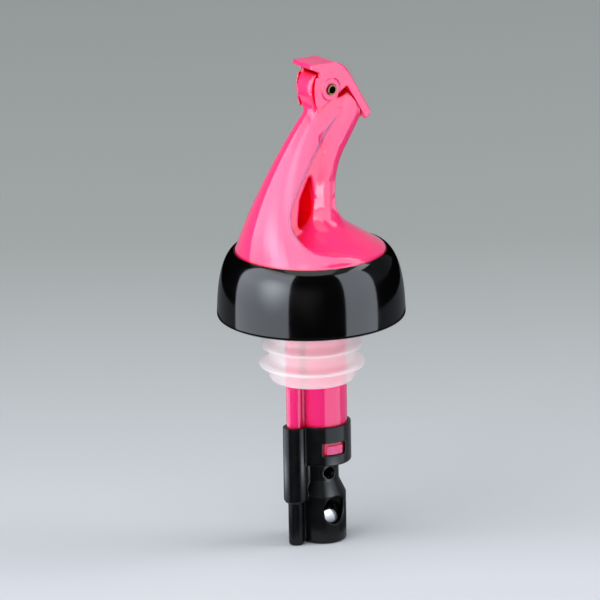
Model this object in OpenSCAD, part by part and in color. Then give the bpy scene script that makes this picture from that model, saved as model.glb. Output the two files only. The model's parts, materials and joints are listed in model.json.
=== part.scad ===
// Measured liquor pourer: a bar spout for a bottle that stops by itself after one measure.
// The bottle axis is Z, the foot of the metering cage stands at Z = 0 and the spout leans to +X.
// Three steel balls do the measuring, and a gravity flap on a pin keeps dust out of the mouth.

/* [Metering cage] */
// Height of the cup that holds the drain ball
cup_h = 11.5; // [10.5:0.1:14]
// Outer radius of the cup
cup_r = 5.5; // [5.3:0.1:6]
// Wall of the cup
cup_wall = 1; // [0.8:0.1:1.1]
// Thickness of the lip that keeps the drain ball in the cup
lip_h = 2.4; // [1.6:0.1:2.6]
// Radius of the drain hole in the lip
lip_r = 3.2; // [2.8:0.1:3.4]
// Height of the cone between the cup and the neck
cone_h = 3.4; // [3:0.1:4.5]
// Outer radius of the neck
neck_r = 3.9; // [3.7:0.1:4.3]
// Radius of the bore through the neck
neck_bore_r = 2.6; // [2.3:0.1:2.8]
// Height of the neck
neck_h = 4.45; // [4:0.05:7]
// Diameter of the timing hole in the side of the neck
timing_hole_d = 2.8; // [1.6:0.1:3]
// Height of the sleeve that snaps over the stem
sleeve_h = 9.5; // [8.5:0.1:14]
// Floor between the neck and the sleeve
sleeve_floor = 1.15; // [0.9:0.05:1.6]
// Wall of the sleeve
sleeve_wall = 0.75; // [0.6:0.05:1.1]
// Width of the oval window in the cup
window_w = 6; // [4:0.1:6.2]
// Height of the oval window in the cup
window_h = 6.9; // [6.4:0.1:7]
// Height of the snap slot in the sleeve
slot_h = 3; // [2.4:0.1:3.6]
// Angle that the snap slot spans
slot_angle = 52; // [40:1:60]
// Turn of the slots and timing holes towards the vent, from square across
side_turn = 9; // [0:1:12]
// Length of the narrow vent nozzle below the vent sleeve
nozzle_h = 10.4; // [8:0.1:11]
// Radius of the vent nozzle
nozzle_r = 1.8; // [1.5:0.1:2]
// Radius of the bore in the vent nozzle
nozzle_bore_r = 0.9; // [0.7:0.05:1.1]
// Floor under the vent ball
vent_floor = 1.6; // [1.2:0.1:2.4]
// Thickness of the web between the vent and the cup
web_t = 1.2; // [0.8:0.1:2]

/* [Twin stem] */
// Offset of the main tube from the bottle axis
stem_x = 2.4; // [2:0.1:2.6]
// Inner radius of the main tube, where the measuring ball runs
stem_bore_r = 5.1; // [5:0.1:5.3]
// Wall of the main tube
stem_wall = 1; // [0.8:0.1:1.2]
// Distance between the main tube and the vent tube
vent_pitch = 7.8; // [7.7:0.1:8]
// Outer radius of the vent tube
vent_r = 1.9; // [1.8:0.1:2]
// Width of the web that joins the two tubes
stem_web = 1.4; // [1:0.1:1.8]
// Inner radius of the vent tube
vent_bore_r = 1.1; // [0.9:0.05:1.2]
// Length of stem that shows between the cage and the stopper
stem_show = 11.15; // [5:0.05:30]
// How far the snap lugs stand out of the tube
lug_out = 0.6; // [0.4:0.05:0.65]

/* [Balls] */
// Radius of the measuring ball
measuring_ball_r = 4.75; // [4.5:0.05:4.85]
// Radius of the drain ball
drain_ball_r = 4.1; // [3.9:0.05:4.2]
// Radius of the vent ball
vent_ball_r = 1.5; // [1.4:0.05:1.6]

/* [Stopper] */
// Height of the stopper, up to the web of the collar
stopper_h = 22; // [20:0.5:26]
// Radius of the stopper's body
stopper_r = 10; // [9.9:0.1:10.6]
// Number of sealing fins
fin_count = 3; // [2:1:3]
// Distance from one fin to the next
fin_pitch = 5.75; // [5:0.05:6]
// Height of the lowest fin above the stopper's lower rim
fin_first = 3.1; // [2.6:0.1:4]
// Radius at the tip of the lowest fin
fin_r = 12.4; // [11.6:0.1:12.8]
// How much smaller each fin above it is
fin_step = 0.35; // [0:0.05:0.5]
// Thickness of a fin at its root
fin_root = 2.2; // [1.6:0.1:2.6]

/* [Collar] */
// Largest radius of the collar
collar_r = 22; // [21.4:0.1:24]
// Wall of the collar
collar_wall = 1.8; // [1.4:0.1:2.2]
// How far the bell hangs below its web
collar_drop = 6.9; // [5:0.1:10]
// How far the collar stands up above its web
collar_rise = 7.2; // [6.5:0.1:10]
// Thickness of the web
collar_web = 2; // [1.5:0.1:3]
// Radius of the round opening that the head stands in
collar_mouth_r = 17.75; // [17.4:0.05:18.1]

/* [Spout head] */
// How far the round foot of the head stands above the collar's rim
head_stand = 0.3; // [0.2:0.1:0.8]
// Height of the swept spine above the foot of the head
spine_h = 33.5; // [32.5:0.5:35]
// Place of the spine's back edge at its top
spine_top_x = 0; // [-0.8:0.1:0.3]
// Half width of the spine at its top
spine_half_w = 2.9; // [2.6:0.1:3.4]
// Depth of the socket that takes the stem
socket_h = 12; // [11:0.1:12.4]
// Outer radius of the spout tube
spout_r = 4.2; // [3.9:0.1:4.4]
// Inner radius of the spout tube
spout_bore_r = 2.7; // [2.3:0.1:2.9]
// Height of the straight part of the spout tube above the foot of the head
spout_rise = 13.8; // [13:0.1:14.5]
// Radius of the bend in the spout tube
bend_r = 19.5; // [18.5:0.5:21]
// Angle of the bend
bend_angle = 34; // [32:1:36]
// Length of the straight end after the bend, on its axis
spout_end = 10.4; // [10:0.1:11.5]
// Tilt of the mouth's face from the vertical
mouth_tilt = 30; // [28:1:32]
// Radius of the flare between the spout tube and the scooped floor
flare_r = 7; // [6:0.5:8]
// Slope of the scooped floor
floor_slope = 32; // [28:1:34]
// Half thickness of the rib between the spine and the spout tube
rib_half = 3.2; // [2.9:0.1:3.6]
// Thickness of the wall left between the two side pockets
pocket_web = 0.8; // [0.8:0.1:1.6]
// Wall of the head's skirt inside the collar
skirt_wall = 1.8; // [1.4:0.1:2.4]

/* [Flap and hinge] */
// Distance of the pin behind the mouth's face
pin_back = 4.16; // [4.1:0.02:4.4]
// Distance of the pin above the mouth's centre, along the face
pin_up = 8.2; // [8:0.1:8.6]
// Radius of the hollow hinge pin
pin_r = 1.25; // [1:0.05:1.4]
// Wall of the hollow hinge pin
pin_wall = 0.35; // [0.25:0.05:0.5]
// How far the pin stands out of each ear
pin_out = 0.4; // [0.2:0.1:1]
// Half width of the head's knuckle
knuckle_half = 2.6; // [2.4:0.1:2.8]
// Radius of the back of the knuckle
knuckle_r = 5.2; // [4.8:0.1:5.3]
// Thickness of each ear of the flap
ear_t = 0.9; // [0.8:0.1:1.4]
// Radius of the round ear about the pin
ear_r = 3.4; // [3:0.1:3.6]
// Radius of the raised ring round the pin hole
boss_r = 2.6; // [2.2:0.1:2.9]
// Height of the raised ring
boss_h = 0.35; // [0.2:0.05:0.6]
// Thickness of the plate that closes the mouth
plate_t = 2.1; // [2:0.1:2.6]
// Length of the closing plate below the mouth's centre
plate_drop = 4.8; // [4.8:0.1:5.6]
// Length of the thumb tab behind the hood
tab_l = 4.8; // [3:0.1:6]
// Thickness of the thumb tab
tab_t = 1.1; // [0.8:0.1:1.4]

/* [Clearances] */
// Gap between pieces that are pushed together
seat_gap = 0.05; // [0.02:0.01:0.1]
// Gap between the flap and the head
flap_gap = 0.15; // [0.1:0.01:0.25]
// Radial running gap of the pin in the knuckle
pin_gap = 0.05; // [0.02:0.01:0.09]
// Gap under each ball at rest
ball_gap = 0.05; // [0.02:0.01:0.1]

/* [Hidden] */
$fn = 64;
eps = 0.01;

// Levels along the bottle axis, from the foot up
cone_z = cup_h;
neck_z = cone_z + cone_h;
sleeve_z = neck_z + neck_h;
stem_z = sleeve_z + sleeve_floor;
sleeve_top_z = sleeve_z + sleeve_h;
stopper_z = sleeve_top_z + stem_show;
web_z = stopper_z + stopper_h;
head_foot_z = web_z + collar_web;
rim_z = head_foot_z + collar_rise;
lip_z = web_z - collar_drop;
stem_top_z = head_foot_z + socket_h;

// Plan sizes that several pieces share
stem_r = stem_bore_r + stem_wall;
vent_x = stem_x - vent_pitch;
sleeve_r = stem_r + seat_gap + sleeve_wall;
vent_sleeve_r = vent_r + seat_gap + 0.85;
cup_bore_r = cup_r - cup_wall;
head_r = collar_mouth_r - 2 * seat_gap;
head_base_z = rim_z + head_stand;
spine_top_z = head_base_z + spine_h;
slot_z = stem_z + 1.4;

// Heights at which each ball rests on the rim of a hole
measuring_rest_z = stem_z + ball_gap + sqrt(pow(measuring_ball_r, 2) - pow(neck_bore_r, 2));
drain_rest_z = lip_h + ball_gap + sqrt(pow(drain_ball_r, 2) - pow(lip_r, 2));
vent_seat_z = nozzle_h + vent_floor;
vent_rest_z = vent_seat_z + ball_gap + sqrt(pow(vent_ball_r, 2) - pow(nozzle_bore_r, 2));

// Spout tube: straight, bent and straight again, in the plane Y = 0
bend_z = head_base_z + spout_rise;
bend_end = [
    stem_x + bend_r * (1 - cos(bend_angle)),
    bend_z + bend_r * sin(bend_angle)
];
mouth = bend_end + spout_end * [sin(bend_angle), cos(bend_angle)];
face_out = [cos(mouth_tilt), sin(mouth_tilt)];
face_up = [-sin(mouth_tilt), cos(mouth_tilt)];
pin_at = mouth + pin_up * face_up - pin_back * face_out;

// Flap widths across the hinge
ear_in = knuckle_half + flap_gap;
ear_out = ear_in + ear_t;
boss_out = ear_out + boss_h;

// Inside of the flap's hood about the pin, where it ends, and the back corner of the ears
hood_in = knuckle_r + 1.5 * flap_gap;
hood_back = 95;
ear_back = ear_r * [cos(124), sin(124)];

// Point at share t along a cubic curve through the handles of p
function curve_at(p, t) =
    pow(1 - t, 3) * p[0] + 3 * t * pow(1 - t, 2) * p[1]
    + 3 * t * t * (1 - t) * p[2] + pow(t, 3) * p[3];

// The same curve as a list of n + 1 points
function curve(p, n) = [for (i = [0:n]) curve_at(p, i / n)];

// Points of a circle's arc, from angle a to angle b
function arc(centre, r, a, b, n) =
    [for (i = [0:n]) let (w = a + (b - a) * i / n) centre + r * [cos(w), sin(w)]];

// Back edge of the spine, seen from the side, and how far it reaches forward
spine_foot_r = head_r - 0.05;
spine_back = [
    [-spine_foot_r, head_base_z - 0.5],
    [-spine_foot_r, head_base_z + 7.7],
    [spine_top_x - 11.1, spine_top_z - 12.1],
    [spine_top_x, spine_top_z]
];
spine_front_x = [spine_foot_r, head_r - 5, 6, 6];

// Edge of the scoop, seen from the side: down the spine and round the corner
scoop_corner_r = 6.3;
scoop_corner = [12.65 - head_r, head_base_z + 8.7];
scoop_top = [spine_top_x + 6.3, spine_top_z - 0.8];
scoop_edge = concat(
    curve([
        scoop_top,
        [spine_top_x - 2, spine_top_z - 10.5],
        [scoop_corner[0] - 6, scoop_corner[1] + 6],
        scoop_corner - [scoop_corner_r, 0]
    ], 14),
    arc(scoop_corner, scoop_corner_r, 188, 242, 5)
);

// Round lower end of the side pockets, where the vent tube opens into them
pocket_r = 0.5 * spout_r;
pocket_low = [stem_x - 1.43 * spout_r, bend_z - 1.5 * spout_r];

// Half the length of the mouth, measured up its tilted face
mouth_half = spout_r / sin(bend_angle + mouth_tilt);

// Triangles between rings of points that are stacked in one list, with a flat cap on each end
function ring_faces(levels, around) = concat(
    [for (i = [0:levels - 1], j = [0:around - 1]) let (
        a = i * around + j,
        b = i * around + (j + 1) % around
    ) each [[a, a + around, b + around], [a, b + around, b]]],
    [
        [for (j = [0:around - 1]) j],
        [for (j = [around - 1:-1:0]) levels * around + j]
    ]
);

// Turns a sketch drawn in X and Y to the side view, X and Z, and centres its thickness
module side_slab(thickness) {
    rotate([90, 0, 0])
        linear_extrude(thickness, center = true)
            children();
}

// Frame of the hinge: its origin on the pin, its X axis square to the mouth's face
module at_pin() {
    translate([pin_at[0], 0, pin_at[1]])
        rotate([0, -mouth_tilt, 0])
            children();
}

// Plan of the two tubes of the stem, grown by a gap
module twin_plan(gap) {
    translate([stem_x, 0])
        circle(stem_r + gap);
    translate([vent_x, 0])
        circle(vent_r + gap);
    translate([vent_x, -stem_web / 2 - gap])
        square([vent_pitch, stem_web + 2 * gap]);
}

// A feature that faces -Y, turned towards the vent and mirrored to the other side
module both_sides() {
    for (flip = [0, 1])
        mirror([0, flip, 0])
            rotate([0, 0, -side_turn])
                children();
}

// Snap lugs on both sides of the stem, or the slots that they spring into
module snap_ring(r_in, r_out, z, h, angle) {
    side = r_out * tan(angle / 2);
    translate([stem_x, 0, z])
        intersection() {
            rotate_extrude()
                polygon([[r_in, 0], [r_out, 0.15], [r_out, h], [r_in, h]]);
            both_sides()
                linear_extrude(h)
                    polygon([[0, 0], [side, -r_out], [-side, -r_out]]);
        }
}

// Cup, cone, neck and sleeve on the main tube's axis, as one turned solid
module cage_body() {
    translate([stem_x, 0, 0])
        rotate_extrude()
            polygon([
                [0, 0], [cup_r - 0.4, 0], [cup_r, 0.4], [cup_r, cone_z],
                [neck_r, neck_z], [neck_r, sleeve_z], [sleeve_r - 0.3, sleeve_z],
                [sleeve_r, sleeve_z + 0.3], [sleeve_r, sleeve_top_z], [0, sleeve_top_z]
            ]);
}

// Way through the cage: drain hole, ball chamber, valve seat and neck
module cage_bore() {
    translate([stem_x, 0, 0])
        rotate_extrude()
            polygon([
                [0, -eps], [lip_r, -eps], [lip_r, lip_h], [cup_bore_r, lip_h + 0.6],
                [cup_bore_r, cone_z - 0.3], [neck_bore_r, neck_z - 0.7],
                [neck_bore_r, stem_z + eps], [0, stem_z + eps]
            ]);
}

// Vent sleeve with its nozzle, beside the main tube
module vent_body() {
    translate([vent_x, 0, 0])
        rotate_extrude()
            polygon([
                [0, 0], [nozzle_r - 0.3, 0], [nozzle_r, 0.3], [nozzle_r, nozzle_h],
                [vent_sleeve_r - 0.4, nozzle_h], [vent_sleeve_r, nozzle_h + 0.6],
                [vent_sleeve_r, sleeve_top_z], [0, sleeve_top_z]
            ]);
}

// Oval window, drawn upright with round ends
module window_plan() {
    for (side = [-1, 1])
        translate([0, side * (window_h - window_w) / 2])
            circle(window_w / 2);
    square([window_w, window_h - window_w], center = true);
}

module metering_cage() {
    window_z = cup_h - 0.1 - window_h / 2;
    color([0.05, 0.05, 0.055])
        difference() {
            union() {
                cage_body();
                vent_body();
                translate([vent_x, -web_t / 2, 0.8])
                    cube([vent_pitch, web_t, sleeve_z]);
            }
            cage_bore();
            translate([0, 0, stem_z])
                linear_extrude(sleeve_h + eps)
                    twin_plan(seat_gap);
            translate([vent_x, 0, vent_seat_z])
                cylinder(h = sleeve_top_z, r = vent_r + seat_gap);
            translate([vent_x, 0, -eps])
                cylinder(h = sleeve_top_z, r = nozzle_bore_r);
            translate([stem_x, 0, window_z])
                side_slab(4 * cup_r)
                    window_plan();
            translate([stem_x, 0, neck_z + neck_h * 0.43])
                both_sides()
                    rotate([90, 0, 0])
                        cylinder(h = 2 * neck_r, d = timing_hole_d);
            snap_ring(stem_r - stem_wall / 2, sleeve_r + 1, slot_z, slot_h, slot_angle);
        }
}

module stem() {
    color([1, 0.16, 0.42])
        difference() {
            union() {
                translate([0, 0, stem_z + seat_gap])
                    linear_extrude(stem_top_z - stem_z - 2 * seat_gap)
                        twin_plan(0);
                snap_ring(stem_r - stem_wall / 2, stem_r + lug_out, slot_z + 0.15,
                    slot_h - 0.3, slot_angle - 4);
            }
            translate([stem_x, 0, stem_z])
                cylinder(h = stem_top_z, r = stem_bore_r);
            translate([vent_x, 0, stem_z])
                cylinder(h = stem_top_z, r = vent_bore_r);
        }
}

// A polished steel ball
module steel_ball(x, z, r) {
    color([0.82, 0.83, 0.85])
        translate([x, 0, z])
            sphere(r);
}

module measuring_ball() {
    steel_ball(stem_x, measuring_rest_z, measuring_ball_r);
}

module drain_ball() {
    steel_ball(stem_x, drain_rest_z, drain_ball_r);
}

module vent_ball() {
    steel_ball(vent_x, vent_rest_z, vent_ball_r);
}

// Outline of one drooping fin, from its lower root to its tip and back to its upper root
function fin_outline(z, r) = [
    [stopper_r, z + 0.35], [r - 0.25, z], [r, z + 0.4], [r - 0.25, z + 0.75],
    [stopper_r, z + fin_root]
];

module stopper() {
    fins = [for (i = [0:fin_count - 1])
        each fin_outline(stopper_z + fin_first + i * fin_pitch, fin_r - i * fin_step)];
    flange_r = stopper_r + 1.4;
    color([0.93, 0.86, 0.88, 0.8])
        difference() {
            rotate_extrude()
                polygon(concat(
                    [[0, stopper_z], [stopper_r - 0.4, stopper_z], [stopper_r, stopper_z + 0.4]],
                    fins,
                    [[stopper_r, web_z - 1.6], [flange_r, web_z - 1.2], [flange_r, web_z], [0, web_z]]
                ));
            translate([0, 0, stopper_z - eps])
                linear_extrude(stopper_h + 2 * eps)
                    twin_plan(seat_gap);
        }
}

module collar() {
    edge_r = 0.8;
    crest_r = collar_mouth_r + 0.35;
    shoulder = curve([
        [collar_r, lip_z + 1], [collar_r - 0.1, lip_z + 7],
        [collar_r - 0.8, rim_z - 2.5], [crest_r, rim_z]
    ], 12);
    color([0.02, 0.02, 0.022])
        difference() {
            rotate_extrude()
                polygon(concat(
                    [[collar_r - collar_wall, lip_z]],
                    arc([collar_r - edge_r, lip_z + edge_r], edge_r, -90, 0, 5),
                    shoulder,
                    [
                        [crest_r - 0.25, rim_z], [collar_mouth_r, rim_z - 0.25],
                        [collar_mouth_r, head_foot_z], [0, head_foot_z], [0, web_z],
                        [crest_r, web_z]
                    ]
                ));
            translate([0, 0, web_z - eps])
                linear_extrude(collar_web + 2 * eps)
                    twin_plan(seat_gap);
        }
}

// Swept spine: ellipses that shrink and lean as they rise from the round foot of the head
module spine_loft() {
    levels = 20;
    around = 48;
    rings = [for (i = [0:levels]) let (
        t = i / levels,
        back = curve_at(spine_back, t),
        front_x = curve_at(spine_front_x, t),
        half_w = spine_half_w + (spine_foot_r - spine_half_w) * pow(1 - t, 1.4)
    ) for (j = [0:around - 1]) let (w = 360 * j / around) [
        (front_x + back[0]) / 2 + (front_x - back[0]) / 2 * cos(w),
        half_w * sin(w),
        back[1]
    ]];
    polyhedron(points = rings, faces = ring_faces(levels, around));
}

// Side view of what the scoop takes away, from its edge to the open front
module scoop_plan() {
    far = head_r + 20;
    polygon(concat(scoop_edge, [
        [stem_x + 1.2, head_base_z + 0.5], [head_r - 4, head_base_z - 0.3], [far, head_base_z - 0.3],
        [far, mouth[1] + far], [scoop_top[0], mouth[1] + far]
    ]));
}

// Scooped floor that rises from the round foot of the head and flares up into the spout tube
module flared_floor() {
    around = 48;
    reach = head_r - stem_x;
    hub = [
        spout_r + flare_r,
        head_base_z + (reach - spout_r - flare_r) * tan(floor_slope) + flare_r / cos(floor_slope)
    ];
    profile = concat(
        [[reach, head_base_z - 1], [reach, head_base_z - 0.2]],
        arc(hub, flare_r, 270 - floor_slope, 180, 8)
    );
    rings = [for (p = profile) let (
        share = (p[0] - spout_r) / (reach - spout_r),
        ring_r = spout_r + share * (head_r - spout_r) - 0.05
    ) for (j = [0:around - 1]) let (w = 360 * j / around) [
        stem_x * (1 - share) + ring_r * cos(w),
        ring_r * sin(w),
        p[1]
    ]];
    polyhedron(points = rings, faces = ring_faces(len(profile) - 1, around));
}

// Round rod along the spout's path: up from z, round the bend and out past the mouth's face
module spout_path(r, z) {
    around = 40;
    bend_steps = 8;
    past = 3 * spout_r;
    stations = concat(
        [[stem_x, z, 0]],
        [for (i = [0:bend_steps]) let (w = bend_angle * i / bend_steps)
            [stem_x + bend_r * (1 - cos(w)), bend_z + bend_r * sin(w), w]],
        [concat(mouth + past * [sin(bend_angle), cos(bend_angle)], bend_angle)]
    );
    rings = [for (s = stations, j = [0:around - 1]) let (w = 360 * j / around) [
        s[0] + r * cos(w) * cos(s[2]),
        r * sin(w),
        s[1] - r * cos(w) * sin(s[2])
    ]];
    polyhedron(points = rings, faces = ring_faces(len(stations) - 1, around));
}

// Rib that joins the spine to the spout tube, seen from the side
module rib_plan() {
    polygon(concat(
        [for (p = scoop_edge) p - [1.5, 0]],
        [[stem_x, head_base_z], [stem_x, bend_z], bend_end, mouth]
    ));
}

// Side pocket between the spine and the spout tube: narrow at the top, round at the bottom
module pocket_plan() {
    hull() {
        translate([stem_x - 1.05 * spout_r, bend_z + 0.95 * spout_r])
            circle(0.1 * spout_r);
        translate([stem_x - 1.29 * spout_r, bend_z - 0.33 * spout_r])
            circle(pocket_r);
        translate(pocket_low)
            circle(pocket_r);
    }
}

// Knuckle of the hinge in the frame of the pin, with a raised back that stops the open flap
module knuckle_plan() {
    stop_from = 96;
    stop_to = 245;
    circle(pin_back - 1.5 * flap_gap);
    intersection() {
        circle(knuckle_r);
        polygon(concat([[0, 0]], arc([0, 0], 2 * knuckle_r, stop_from, stop_to, 4)));
    }
}

// Neck that carries the knuckle on the spine and the spout tube, seen from the side
module knuckle_neck_plan() {
    polygon([
        [spine_top_x + 0.3, spine_top_z - 1],
        pin_at - [4.2, 3.3],
        pin_at - [0, 1],
        mouth + (pin_up - 4) * face_up - pin_back * face_out,
        mouth + (mouth_half - 1) * face_up - 0.5 * face_out,
        mouth - spout_r * face_out,
        bend_end,
        [spine_top_x + 1, spine_top_z - 8]
    ]);
}

// Solid head before its bores are made
module head_solid() {
    difference() {
        spine_loft();
        side_slab(4 * head_r)
            scoop_plan();
    }
    flared_floor();
    spout_path(spout_r, head_base_z);
    difference() {
        side_slab(2 * rib_half)
            rib_plan();
        for (side = [-1, 1])
            translate([0, side * (pocket_web / 2 + rib_half), 0])
                side_slab(2 * rib_half)
                    pocket_plan();
    }
    side_slab(2 * knuckle_half)
        knuckle_neck_plan();
    at_pin()
        side_slab(2 * knuckle_half)
            knuckle_plan();
    translate([0, 0, head_foot_z])
        cylinder(h = head_base_z - head_foot_z, r = head_r);
}

module spout_head() {
    seat_top_r = spout_bore_r - 0.3;
    boss = stem_r + 1.6;
    cavity_h = collar_rise + head_stand - skirt_wall;
    color([1, 0.16, 0.42])
        difference() {
            head_solid();
            translate([mouth[0], 0, mouth[1]])
                rotate([0, -mouth_tilt, 0])
                    translate([0, -head_r, -pin_up])
                        cube(2 * head_r);
            translate([0, 0, head_foot_z - eps])
                linear_extrude(socket_h + eps)
                    twin_plan(seat_gap);
            translate([stem_x, 0, stem_top_z - eps])
                cylinder(h = stem_bore_r - seat_top_r, r1 = stem_bore_r, r2 = seat_top_r);
            spout_path(spout_bore_r, stem_top_z);
            translate([vent_x, 0, stem_top_z - eps])
                cylinder(h = pocket_low[1] - stem_top_z, r = vent_bore_r);
            translate([0, 0, head_foot_z - eps])
                linear_extrude(cavity_h)
                    difference() {
                        circle(head_r - skirt_wall);
                        translate([stem_x, 0])
                            circle(boss);
                        translate([vent_x, 0])
                            circle(vent_r + 1.6);
                    }
            at_pin()
                rotate([90, 0, 0])
                    cylinder(h = 4 * knuckle_half, r = pin_r + pin_gap, center = true);
        }
}

// Outline of the flap in the frame of the pin: closing plate, round hood and thumb tab
function flap_outline(face) =
    let (
        low = -pin_up - plate_drop,
        out = face + plate_t,
        edge_r = plate_t / 2,
        hood_end = 65,
        root = out * [cos(hood_end), sin(hood_end)],
        along = [cos(146), sin(146)],
        tab_end = root + tab_l * along
    )
    concat(
        [[face, low]],
        arc([out - edge_r, low + edge_r], edge_r, 270, 360, 4),
        arc([0, 0], out, 0, hood_end, 8),
        [tab_end, tab_end + tab_t * [-along[1], along[0]]],
        [hood_in * [cos(hood_back), sin(hood_back)], ear_back, [0, -ear_r]],
        [[face, mouth_half - pin_up]]
    );

// Space between the ears that the knuckle and the mouth take up
module flap_hollow_plan(face) {
    below = -pin_up - 2 * plate_drop;
    polygon(concat(
        [[face, below]],
        arc([0, 0], hood_in, acos(face / hood_in), hood_back, 8),
        [ear_back, [-4 * ear_r, ear_back[1]], [-4 * ear_r, below]]
    ));
}

module flap() {
    face = pin_back + flap_gap;
    color([1, 0.16, 0.42])
        at_pin()
            difference() {
                union() {
                    side_slab(2 * ear_out) {
                        polygon(flap_outline(face));
                        circle(ear_r);
                    }
                    rotate([90, 0, 0])
                        cylinder(h = 2 * boss_out, r = boss_r, center = true);
                }
                side_slab(2 * ear_in)
                    flap_hollow_plan(face);
                rotate([90, 0, 0])
                    cylinder(h = 4 * boss_out, r = pin_r, center = true);
            }
}

module hinge_pin() {
    pin_h = 2 * (boss_out + pin_out);
    slit = 0.3;
    color([0.72, 0.66, 0.55])
        at_pin()
            rotate([90, 0, 0])
                difference() {
                    cylinder(h = pin_h, r = pin_r, center = true);
                    cylinder(h = 2 * pin_h, r = pin_r - pin_wall, center = true);
                    translate([-2 * pin_r, -slit / 2, -pin_h])
                        cube([2 * pin_r, slit, 2 * pin_h]);
                }
}

metering_cage();
stem();
measuring_ball();
drain_ball();
vent_ball();
stopper();
collar();
spout_head();
flap();
hinge_pin();
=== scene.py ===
"""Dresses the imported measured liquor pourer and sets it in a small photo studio."""

import json
import logging
import math
from dataclasses import dataclass, field
from enum import Enum

import bmesh
import bpy
from bmesh.types import BMesh, BMVert
from bpy.types import ID, Material, Mesh, Node, NodeSocket, Object
from mathutils import Matrix, Vector
from mathutils.bvhtree import BVHTree
from mathutils.geometry import interpolate_bezier


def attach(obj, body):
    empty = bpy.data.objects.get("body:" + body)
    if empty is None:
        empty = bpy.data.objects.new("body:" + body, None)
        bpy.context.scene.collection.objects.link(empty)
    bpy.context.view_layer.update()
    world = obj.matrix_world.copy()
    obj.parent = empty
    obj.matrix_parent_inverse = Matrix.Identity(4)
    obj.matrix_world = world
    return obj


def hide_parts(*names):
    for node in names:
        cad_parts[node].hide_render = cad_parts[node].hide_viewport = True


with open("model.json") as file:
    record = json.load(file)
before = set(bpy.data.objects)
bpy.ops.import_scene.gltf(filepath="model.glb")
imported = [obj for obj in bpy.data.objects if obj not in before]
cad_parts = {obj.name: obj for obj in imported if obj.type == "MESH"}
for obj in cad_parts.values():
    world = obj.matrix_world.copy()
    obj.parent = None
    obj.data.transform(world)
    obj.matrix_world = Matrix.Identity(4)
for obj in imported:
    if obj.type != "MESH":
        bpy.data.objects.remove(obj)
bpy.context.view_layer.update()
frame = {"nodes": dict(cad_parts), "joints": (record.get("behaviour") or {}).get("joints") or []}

Pair = tuple[float, float]
Triple = tuple[float, float, float]

MM = 0.001  # in metres
SIDES = (-1, 1)  # signs of the two sides along Y
ARC_STEPS = 24  # faces along a curved block or card
SMOOTH_FACTOR = 0.5  # how far one pass moves a vertex towards its neighbours
PLAIN_SPECULAR = 0.5  # level at which the refractive index alone sets the reflection
NOISE_MIDDLE = (0.3, 0.7)  # range that holds nearly all of a noise
NODE_JOIN_MM = 0.002  # distance at which a node's loose corners are joined
POLE_JOIN_MM = 0.001  # distance at which a turned outline's ends are joined
log = logging.getLogger("pourer")


class Slot(Enum):
    """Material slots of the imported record."""

    PINK_GLOSS = "pink_gloss"
    BLACK_GLOSS = "black_gloss"
    BLACK_SATIN = "black_satin"
    MILKY_RUBBER = "milky_rubber"
    BALL_STEEL = "ball_steel"
    PIN_STEEL = "pin_steel"


class Body(Enum):
    """Bodies that move as one piece."""

    ROOT = "root"
    FLAP = "flap"


class Mix(Enum):
    """What a mix node blends: Blender's type, its two inputs and its output."""

    NUMBER = ("FLOAT", 2, 3, 0)
    COLOUR = ("RGBA", 6, 7, 2)


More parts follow.
